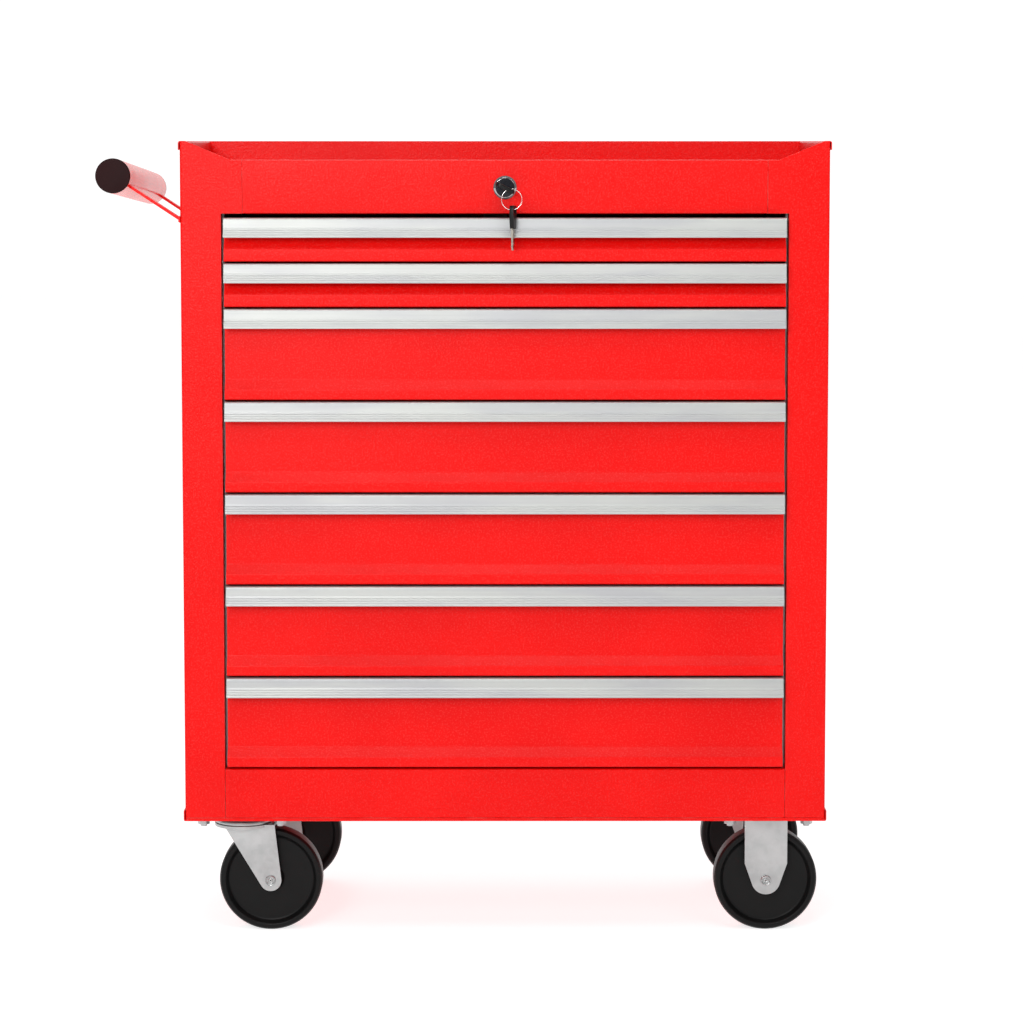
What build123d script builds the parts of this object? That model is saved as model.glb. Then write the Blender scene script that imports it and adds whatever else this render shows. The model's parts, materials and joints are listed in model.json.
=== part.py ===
from build123d import *
import math
import os

os.makedirs("parts", exist_ok=True)

# A rolling tool chest: a sheet steel cabinet with seven drawers, an open tray on top, a push
# handle on the left and four casters. It is modelled with x = 0 in the middle of the cabinet,
# y = 0 on its front skin (drawers open towards -Y) and z = 0 on the floor. The last lines
# move every piece so that the origin is on the floor under the centre of the whole chest.

# Cabinet
CABINET_WIDTH = 615.0
CABINET_DEPTH = 310.0
CABINET_BOTTOM = 114.5
RIM_TOP = 766.0
SHEET = 0.8
PAN_SHEET = 1.2
BEND = 2.2
STILE_WIDTH = 38.5
STILE_RETURN = 15.0
EAR_WIDTH = 58.7
EAR_TIP = 4.9
EAR_SLANT = 43.4
OPENING_BOTTOM = 165.2
OPENING_TOP = 697.5
FRONT_RAIL_TOP = 748.0
RAIL_RETURN = 12.0
LEDGE = 20.0
TRAY_FLOOR = 738.0
RIM_PROUD = 1.8
RIM_WRAP = 8.5
RIM_WIDTH = 4.5
PAN_PROUD = 1.5
PAN_LIP = 10.1
PAN_TOE = 3.0
PAN_BEND = 1.8
RAIL_BEND = 1.5
REAR_FLANGE = 22.0
SEAM = 0.3
BACK_SCREW_ZS = [140.0 + 115.0 * step for step in range(6)]
SCREW_RADIUS = 2.0
SCREW_HEAD_RADIUS = 4.0
SCREW_HEAD = 1.6
SCREW_DOME = 1.0
OVERLAP = 1.0

# Drawers, top down: two shallow ones over five deep ones
SHALLOW = 43.0
DEEP = 88.2
PITCHES = [SHALLOW] * 2 + [DEEP] * 5
FIRST_DRAWER_TOP = 693.5
DRAWER_GAP = 1.8
FRONT_HALF = 266.0
FRONT_RETURN = 10.0
LIP_PROUD = 7.0
LIP_HEIGHT = {SHALLOW: 11.4, DEEP: 9.8}
SLOPE_HEIGHT = {SHALLOW: 10.6, DEEP: 8.8}
BOX_HALF = 254.0
BOX_BACK = 296.0
BOX_SHEET = 0.7
BOX_TOP_DROP = 8.0
BOX_FLOOR_RISE = 2.0
HEM = 5.0
LIP_BEND = 3.0
FRONT_BEND = 1.5
PULL_WALL = 1.5
PULL_FIT = 0.2
PULL_SECTION = [(8, 0), (-7.8, 0), (-9.3, -0.6), (-9.8, -2), (-10, -9), (-13.4, -17.6),
                (-13, -18.5), (-12.2, -18.3), (-8.5, -9.3), (-8.2, -3), (-7, -PULL_WALL),
                (-1.9, -PULL_WALL), (-1.9, -11), (-PULL_FIT, -11), (-PULL_FIT, -PULL_WALL),
                (8, -PULL_WALL)]
GROOVE_START = (-10.0, -9.0)
GROOVE_RUN = (-3.4, -8.6)
GROOVE_SHARES = (0.25, 0.5, 0.75)
GROOVE_RADIUS = 0.35

# Drawer slides and the posts that carry them
SLIDE_THICKNESS = 12.7
SLIDE_METAL = 1.2
SLIDE_HEIGHT = {SHALLOW: 24.0, DEEP: 34.0}
FIXED_RAIL_YS = (15.0, 298.0)
RUNNER_YS = (12.0, 290.0)
RAIL_DEPTH = 9.6
BALL_TRACK = 3.3
POST_YS = (35.0, 272.0)
POST_ZS = (122.0, 736.0)
POST_WIDTH = 30.0

# Lock
LOCK_Z = 722.0
BEZEL_RADIUS = 11.2
BEZEL_PROUD = 2.6
BARREL_RADIUS = 9.0
BARREL_LENGTH = 20.0
PLUG_RADIUS = 7.5
PLUG_LENGTH = 22.0
FACE_RADIUS = 9.0
FACE_METAL = 0.9
FACE_ROUND = 0.6
BEZEL_CHAMFER = 1.8
KEYWAY_FIT = 0.2
KEYWAY_END = 16.0
BLADE_END = 14.0
NOTCHES = 5
NOTCH_START = -0.5
NOTCH_STEP = 3.0
NOTCH = (1.6, 1.4)
GRIP_CORNER = 5.0
GRIP_ROUND = 0.8
GRIP_HOLE = (13.0, 5.2)
GRIP_HOLE_SHIFT = 1.5
LOCK_NUT = (3.0, 3.2)
FIT = 0.05
KEY_TURN = 27.0
BLADE = (7.8, 1.8)
GRIP = (19.5, 22.0, 3.8)
GRIP_FRONT = -28.0
GRIP_HOLE_Y = -23.0
RING_RADIUS = 9.65
RING_WIRE = 0.6
RING_OFFSET = (6.3, -10.8)
ROD_RADIUS = 3.0
CRANK = 12.0
CRANK_METAL = 3.0
CRANK_PIN = 2.5
CRANK_EYE = 4.5
BAR_X = -10.2
BAR_HALF = 12.0
BAR_YS = (300.5, 302.5)
BAR_ZS = (195.0, 718.5)
BAR_STROKE = 2 * CRANK * math.sin(math.radians(45))
TAB_DROP = 17.5
TAB_HEIGHT = 14.0
TAB_NOTCH = 9.0
TAB_HALF = 1.0
TAB_BACK = 306.5
TAB_PLAY = 0.7
WINDOW_HALF = 3.0
GUIDE_ZS = (530.0, 440.0, 268.0)
GUIDE_HEIGHT = 12.0
GUIDE_WALL = 3.0
GUIDE_LIP = 2.0
GUIDE_MOUTH = 8.0
GUIDE_PLAY = 0.5
HANGER_HALF = 8.0
HANGER_YS = (150.0, 152.0)

# Push handle, turned about X because its rear end hangs lower than its front end
TUBE_RADIUS = 16.5
TUBE_WALL = 1.2
HANDLE_LENGTH = 344.0
HANDLE_X = -369.0
HANDLE_Z = 725.3
HANDLE_TILT = 2.66
CAP = 3.0
CAP_PLUG = 10.0
CAP_ROUND = 1.2
STRAP_BITE = 0.4
STRAP_ANGLE = 33.3
STRAP_WIDTH = 25.0
STRAP_METAL = 2.6
STRAP_YS = (-142.5, 142.5)
STRAP_WELD = 1.6

# Casters
WHEEL_RADIUS = 50.0
CASTER_YS = {"front": 48.0, "rear": 262.0}
SWIVEL_XS = {"front": -255.0, "rear": -247.0}
FIXED_PLATE_X = 255.0
TRAIL = 27.0
FIXED_WHEEL_X = 253.5
PLATE = (92.0, 64.0)
PLATE_HOLES = (74.0, 45.0)
PLATE_METAL = 2.5
FORK_METAL = 2.5
LEG_GAP = 15.5
CROWN_RADIUS = 28.0
CROWN_BOTTOM = 102.0
CROWN_METAL = 2.8
RACE_BOTTOM = 109.0
RACE_BORE = 15.5
SKIRT = 2.6
SKIRT_METAL = 1.5
BALL_RADIUS = 2.05
BALL_CIRCLE = 21.5
BALL_COUNT = 16
KINGPIN_RADIUS = 5.0
KINGPIN_HEAD = (8.0, 2.4)
AXLE_RADIUS = 4.0
AXLE_HEAD_RADIUS = 5.0
AXLE_HEAD = 2.2
AXLE_DOME = 1.4
FORK_EYE = 10.5
FORK_TOP = (-44.7, 4.1)
BRACKET_EYE = 14.0
BRACKET_HALF = 20.7
BRACKET_SHOULDER = 66.5
BOLT_RADIUS = 3.0
NUT_RADIUS = 5.8
NUT_HEIGHT = 5.0
BOLT_HEAD = 4.0
BOLT_END = 2.0
PLATE_CORNER = 6.0
WHEEL_BORE_FIT = 0.06
WHEEL_HALF = [(14.8, 11), (7, 13), (6, 35), (9, 37.5), (9.6, 43), (12.6, 44), (12.6, 48)]
TREAD_EDGE = 9.5

HALF = CABINET_WIDTH / 2
OPENING_HALF = HALF - STILE_WIDTH
PAN_TOP = CABINET_BOTTOM + PAN_SHEET
PLATE_BOTTOM = CABINET_BOTTOM - PLATE_METAL
BACK_FACE = CABINET_DEPTH - 2 * SHEET
CRANK_REST = CRANK * math.sin(math.radians(45))
nodes = {}


def block(x0, x1, y0, y1, z0, z1):
    """A box between two corners."""
    return Pos((x0 + x1) / 2, (y0 + y1) / 2, (z0 + z1) / 2) * Box(x1 - x0, y1 - y0, z1 - z0)


def bar(radius, start, end):
    """A round bar from one point to another."""
    way = Vector(*end) - Vector(*start)
    return extrude(Plane(origin=start, z_dir=way) * Circle(radius), way.length)


def hexagon(radius, start, end):
    """A hexagon bar, as a nut or a bolt head, from one point to another."""
    way = Vector(*end) - Vector(*start)
    return extrude(Plane(origin=start, z_dir=way) * RegularPolygon(radius, 6), way.length)


def along_x(points, x0, x1):
    """A closed outline of (y, z) points, extruded from x0 to x1."""
    outline = Polyline(*[(x0, y, z) for y, z in points], close=True)
    return extrude(make_face(outline), x1 - x0, dir=(1, 0, 0))


def along_y(points, y0, y1):
    """A closed outline of (x, z) points, extruded from y0 to y1."""
    outline = Polyline(*[(x, y0, z) for x, z in points], close=True)
    return extrude(make_face(outline), y1 - y0, dir=(0, 1, 0))


def rounded(shape, axis, spots, radius):
    """Round the edges parallel to axis that pass through any of the spots."""
    chosen = []
    for edge in shape.edges().filter_by(axis):
        middle = edge @ 0.5
        place = {Axis.X: (middle.Y, middle.Z), Axis.Y: (middle.X, middle.Z),
                 Axis.Z: (middle.X, middle.Y)}[axis]
        if any(math.dist(place, spot) < 0.01 for spot in spots):
            chosen.append(edge)
    return fillet(chosen, radius)


def group(*shapes):
    """Separate solids kept together as one node."""
    return Compound([solid for shape in shapes for solid in shape.solids()])


def mirrored(shape):
    """The same piece on the other side of the cabinet."""
    return mirror(shape, about=Plane.YZ)


# Handle frame: x from the tube's axis towards the cabinet, y from the tube's middle
handle_place = Pos(HANDLE_X, CABINET_DEPTH / 2, HANDLE_Z) * Rot(X=-HANDLE_TILT)
STRAP_END_X = -HALF - HANDLE_X


def side_panel():
    """The left side: skin, front stile with its slanted ear, and the rear flange."""
    skin_top = RIM_TOP - BEND
    ear = -HALF + EAR_WIDTH
    stile_bottom = CABINET_BOTTOM + PAN_TOE + SEAM
    folds = FilletPolyline((ear, 0), (-HALF, 0), (-HALF, CABINET_DEPTH),
                           (-HALF + REAR_FLANGE, CABINET_DEPTH), radius=BEND)
    section = make_face(offset(folds, amount=SHEET, side=Side.RIGHT))
    panel = Pos(0, 0, PAN_TOP) * extrude(section, RIM_TOP - PAN_TOP)
    panel -= block(-OPENING_HALF, ear + 1, -1, SHEET + 1, PAN_TOP, OPENING_TOP)
    panel -= block(-HALF + BEND, ear + 1, -1, SHEET + 1, PAN_TOP, stile_bottom)
    panel -= block(-HALF - 1, ear, 2 * BEND, CABINET_DEPTH + 1, skin_top, RIM_TOP + 1)
    panel -= along_y([(ear + 1, FRONT_RAIL_TOP), (-HALF + EAR_TIP + EAR_SLANT, FRONT_RAIL_TOP),
                      (-HALF + EAR_TIP, RIM_TOP), (-HALF + EAR_TIP, RIM_TOP + 1),
                      (ear + 1, RIM_TOP + 1)], -1, SHEET + 1)
    panel += block(-OPENING_HALF - SHEET, -OPENING_HALF, 0, STILE_RETURN,
                   OPENING_BOTTOM, OPENING_TOP)
    for z in BACK_SCREW_ZS:
        panel -= back_screw_line(-1, z, SCREW_RADIUS + FIT, CABINET_DEPTH + 1)
    return panel


def back_screw_line(side, z, radius, y_end):
    """A round bar along a back panel screw's axis."""
    x = side * (HALF - REAR_FLANGE / 2)
    return bar(radius, (x, BACK_FACE - SHEET, z), (x, y_end, z))


def back_panel():
    """The flat back, behind which the side panels' rear flanges are screwed."""
    half = HALF - BEND - SEAM
    panel = block(-half, half, BACK_FACE, BACK_FACE + SHEET, PAN_TOP, RIM_TOP - BEND)
    for side in (-1, 1):
        for z in BACK_SCREW_ZS:
            panel -= back_screw_line(side, z, SCREW_RADIUS + FIT, CABINET_DEPTH + 1)
    return panel


def back_screws():
    """Pan head screws through the rear flanges and the back panel."""
    screws = []
    for side in (-1, 1):
        for z in BACK_SCREW_ZS:
            x = side * (HALF - REAR_FLANGE / 2)
            head = bar(SCREW_HEAD_RADIUS, (x, CABINET_DEPTH, z), (x, CABINET_DEPTH + SCREW_HEAD, z))
            head = fillet(head.edges().sort_by(Axis.Y)[-1], SCREW_DOME)
            screws.append(head + back_screw_line(side, z, SCREW_RADIUS, CABINET_DEPTH))
    return group(*screws)


def bottom_pan():
    """The floor of the cabinet: its lips wrap the foot of the sides and of the back."""
    edge = HALF + PAN_PROUD
    back = CABINET_DEPTH + PAN_PROUD
    lip_top = CABINET_BOTTOM + PAN_LIP
    pan = block(-edge, edge, 0, back, CABINET_BOTTOM, PAN_TOP)
    pan += block(-edge, -edge + SHEET, 0, back, CABINET_BOTTOM, lip_top)
    pan += block(edge - SHEET, edge, 0, back, CABINET_BOTTOM, lip_top)
    pan += block(-edge, edge, back - SHEET, back, CABINET_BOTTOM, lip_top)
    toe = HALF - BEND - SEAM
    pan += block(-toe, toe, 0, SHEET, CABINET_BOTTOM, CABINET_BOTTOM + PAN_TOE)
    pan = rounded(pan, Axis.Y, [(-edge, CABINET_BOTTOM), (edge, CABINET_BOTTOM)], PAN_BEND)
    for x, y in caster_bolt_spots:
        pan -= bar(BOLT_RADIUS + FIT, (x, y, CABINET_BOTTOM - 1), (x, y, PAN_TOP + 1))
    return pan


def rim_ring(outer, inner, top, bottom, radius):
    """The three-sided fold over the rim between two distances from the cabinet's skin."""
    side_outer = HALF + outer
    side_inner = HALF + inner
    back_outer = CABINET_DEPTH + outer
    back_inner = CABINET_DEPTH + inner
    left = block(-side_outer, -side_inner, 0, back_outer, bottom, top)
    left = rounded(left, Axis.Y, [(-side_outer, top), (-side_inner, top)], radius)
    back = block(-side_outer, side_outer, back_inner, back_outer, bottom, top)
    back = rounded(back, Axis.X, [(back_inner, top), (back_outer, top)], radius)
    return left + mirrored(left) + back


def top_tray():
    """The open tray: a floor, four walls and a fold over the rim of the sides and back."""
    wall = RIM_PROUD - RIM_WIDTH
    bend = RIM_WIDTH / 2 - 0.05
    fold = rim_ring(RIM_PROUD, wall, RIM_TOP, RIM_TOP - RIM_WRAP, bend)
    fold -= rim_ring(RIM_PROUD - SHEET, wall + SHEET, RIM_TOP - SHEET, TRAY_FLOOR, bend - SHEET)
    inside = HALF + wall
    back = CABINET_DEPTH + wall
    floor_bottom = TRAY_FLOOR - SHEET
    tray = block(-inside - SHEET, inside + SHEET, LEDGE + FIT, back + SHEET,
                 floor_bottom, TRAY_FLOOR)
    wall_top = RIM_TOP - RIM_WRAP + OVERLAP
    for x in (-inside - SHEET, inside):
        tray += block(x, x + SHEET, LEDGE + FIT, back + SHEET, floor_bottom, wall_top)
        tray += block(x, x + SHEET, BEND + FIT, LEDGE + FIT, FRONT_RAIL_TOP + SEAM, wall_top)
    tray += block(-inside, inside, back, back + SHEET, floor_bottom, wall_top)
    tray += block(-inside, inside, LEDGE + FIT, LEDGE + FIT + SHEET, floor_bottom,
                  FRONT_RAIL_TOP)
    fold -= block(-HALF - 5, HALF + 5, -1, BEND + FIT, TRAY_FLOOR, RIM_TOP + 1)
    return tray + fold


def front_top_rail():
    """The rail over the drawers: face with the lock's hole, top ledge and lower return."""
    face = HALF - EAR_WIDTH - SEAM
    ledge = HALF + RIM_PROUD - RIM_WIDTH - SEAM
    rail = block(-face, face, 0, SHEET, OPENING_TOP, FRONT_RAIL_TOP)
    rail += block(-face, face, 0, LEDGE, FRONT_RAIL_TOP - SHEET, FRONT_RAIL_TOP)
    rail += block(-ledge, ledge, SHEET + FIT, LEDGE, FRONT_RAIL_TOP - SHEET, FRONT_RAIL_TOP)
    rail += block(-face, face, 0, RAIL_RETURN, OPENING_TOP, OPENING_TOP + SHEET)
    rail = rounded(rail, Axis.X, [(0, FRONT_RAIL_TOP)], RAIL_BEND)
    rail = rounded(rail, Axis.X, [(0, OPENING_TOP)], SHEET)
    return rail - bar(BARREL_RADIUS + FIT, (0, -1, LOCK_Z), (0, SHEET + 1, LOCK_Z))


def front_bottom_rail():
    """The rail under the drawers, between the two stiles."""
    half = OPENING_HALF - SEAM
    bottom = CABINET_BOTTOM + PAN_TOE + SEAM
    rail = block(-half, half, 0, SHEET, bottom, OPENING_BOTTOM)
    rail += block(-half, half, 0, RAIL_RETURN, OPENING_BOTTOM - SHEET, OPENING_BOTTOM)
    rail += block(-half, half, 0, RAIL_RETURN, bottom, bottom + SHEET)
    return rounded(rail, Axis.X, [(0, OPENING_BOTTOM)], RAIL_BEND)


def slide_posts():
    """Four upright channels that space the slides off the cabinet's sides."""
    web = BOX_HALF + SLIDE_THICKNESS + 2 * SEAM
    outside = HALF - SHEET
    posts = []
    for y in POST_YS:
        y0 = y - POST_WIDTH / 2
        y1 = y + POST_WIDTH / 2
        post = block(web, web + SLIDE_METAL, y0, y1, *POST_ZS)
        post += block(web, outside, y0, y0 + SLIDE_METAL, *POST_ZS)
        post += block(web, outside, y1 - SLIDE_METAL, y1, *POST_ZS)
        posts += [post, mirrored(post)]
    return group(*posts)


def channel(x_web, x_flange, ys, z, height):
    """A slide member: an upright web at x_web with flanges out to x_flange."""
    towards = math.copysign(SLIDE_METAL, x_flange - x_web)
    half = height / 2
    web = sorted((x_web, x_web + towards))
    flange = sorted((x_web, x_flange))
    member = block(*web, *ys, z - half, z + half)
    member += block(*flange, *ys, z + half - SLIDE_METAL, z + half)
    member += block(*flange, *ys, z - half, z - half + SLIDE_METAL)
    return member


def fixed_rail(z, pitch):
    """The cabinet's half of a right-hand slide."""
    outer = BOX_HALF + SLIDE_THICKNESS + SEAM
    return channel(outer, outer - RAIL_DEPTH, FIXED_RAIL_YS, z, SLIDE_HEIGHT[pitch])


def runner(z, pitch):
    """The drawer's half of a right-hand slide."""
    height = SLIDE_HEIGHT[pitch] - 2 * (SLIDE_METAL + BALL_TRACK)
    return channel(BOX_HALF, BOX_HALF + RAIL_DEPTH, RUNNER_YS, z, height)


def drawer_front(top, bottom, pitch):
    """The folded front: flat face, a slope outwards, an upright lip and returns all round."""
    lip_top = bottom + LIP_HEIGHT[pitch]
    slope_top = lip_top + SLOPE_HEIGHT[pitch]
    front = along_x([(FRONT_RETURN, top), (0, top), (0, slope_top), (-LIP_PROUD, lip_top),
                     (-LIP_PROUD, bottom), (FRONT_RETURN, bottom)], -FRONT_HALF, FRONT_HALF)
    front = rounded(front, Axis.X, [(0, slope_top), (-LIP_PROUD, lip_top)], LIP_BEND)
    front = rounded(front, Axis.X, [(0, top), (-LIP_PROUD, bottom)], FRONT_BEND)
    open_face = front.faces().sort_by(Axis.Y)[-1]
    return offset(front, amount=-SHEET, openings=open_face)


def drawer_box(top, pitch):
    """A welded drawer: front, four-sided box with hemmed sides, and the lock's tab."""
    bottom = top - pitch + DRAWER_GAP
    floor = bottom + BOX_FLOOR_RISE
    box_top = top - BOX_TOP_DROP
    front_top = top - PULL_WALL - PULL_FIT
    box = drawer_front(front_top, bottom, pitch)
    box += block(-BOX_HALF, BOX_HALF, FRONT_RETURN, FRONT_RETURN + SHEET, bottom, front_top)
    box += block(-BOX_HALF, BOX_HALF, FRONT_RETURN, BOX_BACK, floor, floor + BOX_SHEET)
    box += block(-BOX_HALF, BOX_HALF, BOX_BACK - BOX_SHEET, BOX_BACK, floor, box_top)
    for side in (-1, 1):
        wall = sorted((side * BOX_HALF, side * (BOX_HALF - BOX_SHEET)))
        hem = sorted((side * BOX_HALF, side * (BOX_HALF - 2 * BOX_SHEET)))
        box += block(*wall, FRONT_RETURN, BOX_BACK, floor, box_top)
        box += block(*hem, FRONT_RETURN, BOX_BACK, box_top - HEM, box_top)
    tab_bottom = top - TAB_DROP - TAB_HEIGHT
    tab = block(BAR_X - TAB_HALF, BAR_X + TAB_HALF, BOX_BACK - BOX_SHEET, TAB_BACK,
                tab_bottom, tab_bottom + TAB_HEIGHT)
    tab -= block(BAR_X - TAB_HALF, BAR_X + TAB_HALF, BAR_YS[0] - TAB_PLAY, BAR_YS[1] + TAB_PLAY,
                 tab_bottom, tab_bottom + TAB_NOTCH)
    return box + tab


def pull(top):
    """An aluminium pull: a hook over the drawer front, its lower half sloped and grooved."""
    profile = along_x([(y, top + z) for y, z in PULL_SECTION], -FRONT_HALF, FRONT_HALF)
    for share in GROOVE_SHARES:
        y = GROOVE_START[0] + GROOVE_RUN[0] * share
        z = top + GROOVE_START[1] + GROOVE_RUN[1] * share
        profile -= bar(GROOVE_RADIUS, (-FRONT_HALF, y, z), (FRONT_HALF, y, z))
    return profile


def key_place(shape):
    """Turn a shape made about the lock's axis, with x across the key, to the key's angle."""
    return Pos(0, 0, LOCK_Z) * Rot(Y=KEY_TURN) * shape


def lock_housing():
    """The lock's barrel with its bevelled bezel on the rail."""
    bezel = bar(BEZEL_RADIUS, (0, 0, LOCK_Z), (0, -BEZEL_PROUD, LOCK_Z))
    bezel = chamfer(bezel.edges().sort_by(Axis.Y)[0], BEZEL_CHAMFER)
    barrel = bar(BARREL_RADIUS, (0, 0, LOCK_Z), (0, BARREL_LENGTH, LOCK_Z))
    bore = bar(PLUG_RADIUS + FIT, (0, -BEZEL_PROUD - 1, LOCK_Z), (0, BARREL_LENGTH + 1, LOCK_Z))
    return bezel + barrel - bore


def lock_nut():
    """The nut that clamps the lock's barrel behind the rail."""
    wall, height = LOCK_NUT
    front = SHEET + FIT
    nut = hexagon(BARREL_RADIUS + wall, (0, front, LOCK_Z), (0, front + height, LOCK_Z))
    return nut - bar(BARREL_RADIUS + FIT, (0, 0, LOCK_Z), (0, front + height + 1, LOCK_Z))


def lock_plug():
    """The turning plug with its dust face and keyway."""
    face_back = -BEZEL_PROUD - 2 * FIT
    face = bar(FACE_RADIUS, (0, face_back, LOCK_Z), (0, face_back - FACE_METAL, LOCK_Z))
    face = fillet(face.edges().sort_by(Axis.Y)[0], FACE_ROUND)
    plug = face + bar(PLUG_RADIUS, (0, face_back, LOCK_Z), (0, PLUG_LENGTH, LOCK_Z))
    width = BLADE[0] / 2 + KEYWAY_FIT
    thick = BLADE[1] / 2 + KEYWAY_FIT
    keyway = block(-width, width, face_back - FACE_METAL - 1, KEYWAY_END, -thick, thick)
    return plug - key_place(keyway)


def key_blade():
    """The key's notched blade, pushed home in the plug."""
    half_width, half_thick = BLADE[0] / 2, BLADE[1] / 2
    depth, width = NOTCH
    blade = block(-half_width, half_width, GRIP_FRONT + GRIP[1], BLADE_END,
                  -half_thick, half_thick)
    for step in range(NOTCHES):
        y = NOTCH_START + NOTCH_STEP * step
        blade -= block(half_width - depth, half_width, y, y + width, -half_thick, half_thick)
    return key_place(blade)


def key_grip():
    """The key's moulded grip, with a long hole for the ring."""
    width, length, thick = GRIP
    middle = Pos(0, GRIP_FRONT + length / 2, 0)
    grip = extrude(middle * RectangleRounded(width, length, GRIP_CORNER), thick / 2, both=True)
    rims = grip.edges().group_by(Axis.Z)[0] + grip.edges().group_by(Axis.Z)[-1]
    grip = fillet(rims, GRIP_ROUND)
    hole = Pos(GRIP_HOLE_SHIFT, GRIP_HOLE_Y, 0) * SlotOverall(*GRIP_HOLE)
    return key_place(grip - extrude(hole, thick, both=True))


def lock_rod():
    """The long rod behind the plug, with a crank that lifts the locking bar."""
    crank_back = BOX_BACK + CRANK_METAL
    pin = (-CRANK_REST, LOCK_Z - CRANK_REST)
    shaft = bar(ROD_RADIUS, (0, PLUG_LENGTH, LOCK_Z), (0, crank_back, LOCK_Z))
    arm = Pos(-CRANK_REST / 2, (BOX_BACK + crank_back) / 2, LOCK_Z - CRANK_REST / 2)
    arm *= Rot(Y=-45) * Box(CRANK, CRANK_METAL, 2 * CRANK_EYE)
    ends = [bar(CRANK_EYE, (x, BOX_BACK, z), (x, crank_back, z)) for x, z in [(0, LOCK_Z), pin]]
    stud = bar(CRANK_PIN, (pin[0], BOX_BACK, pin[1]), (pin[0], BAR_YS[1] + 2, pin[1]))
    return shaft + arm + ends + stud


def lock_bar():
    """The upright bar behind the drawers, with a window round each drawer's tab."""
    lock_strip = block(BAR_X - BAR_HALF, BAR_X + BAR_HALF, *BAR_YS, *BAR_ZS)
    for top in drawer_tops:
        window_bottom = top - TAB_DROP - TAB_HEIGHT - TAB_NOTCH - GUIDE_PLAY
        lock_strip -= block(BAR_X - WINDOW_HALF, BAR_X + WINDOW_HALF, *BAR_YS, window_bottom,
                            top - TAB_DROP + 1)
    slot_x = -(CRANK + CRANK_REST) / 2
    slot_half = (CRANK - CRANK_REST) / 2 + CRANK_PIN + GUIDE_PLAY
    slot_z = LOCK_Z - CRANK_REST
    slot_rise = CRANK_PIN + GUIDE_PLAY
    return lock_strip - block(slot_x - slot_half, slot_x + slot_half, *BAR_YS,
                              slot_z - slot_rise, slot_z + slot_rise)


def lock_guides():
    """Clips that hold the bar against the back, and the rod's hanger under the tray."""
    side = BAR_HALF + GUIDE_PLAY
    near, far = BAR_YS
    clips = []
    for z in GUIDE_ZS:
        height = (z, z + GUIDE_HEIGHT)
        clip = block(BAR_X - side - GUIDE_WALL, BAR_X + side + GUIDE_WALL, near - GUIDE_LIP,
                     BACK_FACE, *height)
        clip -= block(BAR_X - side, BAR_X + side, near - GUIDE_PLAY, far + GUIDE_PLAY, *height)
        clip -= block(BAR_X - GUIDE_MOUTH, BAR_X + GUIDE_MOUTH, near - GUIDE_LIP, near, *height)
        clips.append(clip)
    hanger = block(-HANGER_HALF, HANGER_HALF, *HANGER_YS, LOCK_Z - HANGER_HALF,
                   TRAY_FLOOR - SHEET)
    hanger -= bar(ROD_RADIUS + FIT, (0, HANGER_YS[0] - 1, LOCK_Z), (0, HANGER_YS[1] + 1, LOCK_Z))
    return group(*clips, hanger)


def handle_brackets():
    """Two flat straps, cut square to the side panel at their lower ends and welded to it."""
    angle = math.radians(STRAP_ANGLE)
    start = TUBE_RADIUS - STRAP_BITE
    length = STRAP_END_X / math.cos(angle) + STRAP_WIDTH / 2 - start
    rise = STRAP_METAL / 2 / math.cos(angle)
    brackets = []
    for y in STRAP_YS:
        y0, y1 = y - STRAP_WIDTH / 2, y + STRAP_WIDTH / 2
        strap = Pos(start * math.cos(angle), y, -start * math.sin(angle)) * Rot(Y=STRAP_ANGLE)
        strap *= Pos(length / 2, 0, 0) * Box(length, STRAP_WIDTH, STRAP_METAL)
        for side in (-rise, rise):
            z = side - STRAP_END_X * math.tan(angle)
            strap += bar(STRAP_WELD, (STRAP_END_X, y0, z), (STRAP_END_X, y1, z))
        strap -= block(STRAP_END_X, STRAP_END_X + STRAP_WIDTH, y0 - 1, y1 + 1,
                       -2 * STRAP_END_X, STRAP_END_X)
        brackets.append(handle_place * strap)
    return group(*brackets)


def handle_tube():
    """The round tube of the handle."""
    half = HANDLE_LENGTH / 2 - CAP
    tube = bar(TUBE_RADIUS, (0, -half, 0), (0, half, 0))
    return handle_place * (tube - bar(TUBE_RADIUS - TUBE_WALL, (0, -half, 0), (0, half, 0)))


def handle_caps():
    """A moulded cap in each end of the tube."""
    half = HANDLE_LENGTH / 2
    caps = []
    for end in (-1, 1):
        disc = bar(TUBE_RADIUS, (0, end * (half - CAP), 0), (0, end * half, 0))
        disc = fillet(disc.edges().sort_by(Axis.Y)[0 if end < 0 else -1], CAP_ROUND)
        inside = TUBE_RADIUS - TUBE_WALL - FIT
        spigot = bar(inside, (0, end * (half - CAP - CAP_PLUG), 0), (0, end * (half - CAP), 0))
        caps.append(handle_place * (disc + spigot))
    return group(*caps)


def plate_bolt_spots(x, y):
    """The four bolt positions of the caster plate centred at x, y."""
    return [(x + dx * PLATE_HOLES[0] / 2, y + dy * PLATE_HOLES[1] / 2)
            for dx in (-1, 1) for dy in (-1, 1)]


def caster_bolts():
    """Bolts down through the pan and the plates, with their nuts below."""
    bolts = []
    for x, y in caster_bolt_spots:
        bolt = hexagon(NUT_RADIUS, (x, y, PAN_TOP), (x, y, PAN_TOP + BOLT_HEAD))
        bolt += bar(BOLT_RADIUS, (x, y, PLATE_BOTTOM - NUT_HEIGHT - BOLT_END), (x, y, PAN_TOP))
        bolt += hexagon(NUT_RADIUS, (x, y, PLATE_BOTTOM - NUT_HEIGHT), (x, y, PLATE_BOTTOM))
        bolts.append(bolt)
    return group(*bolts)


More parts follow.
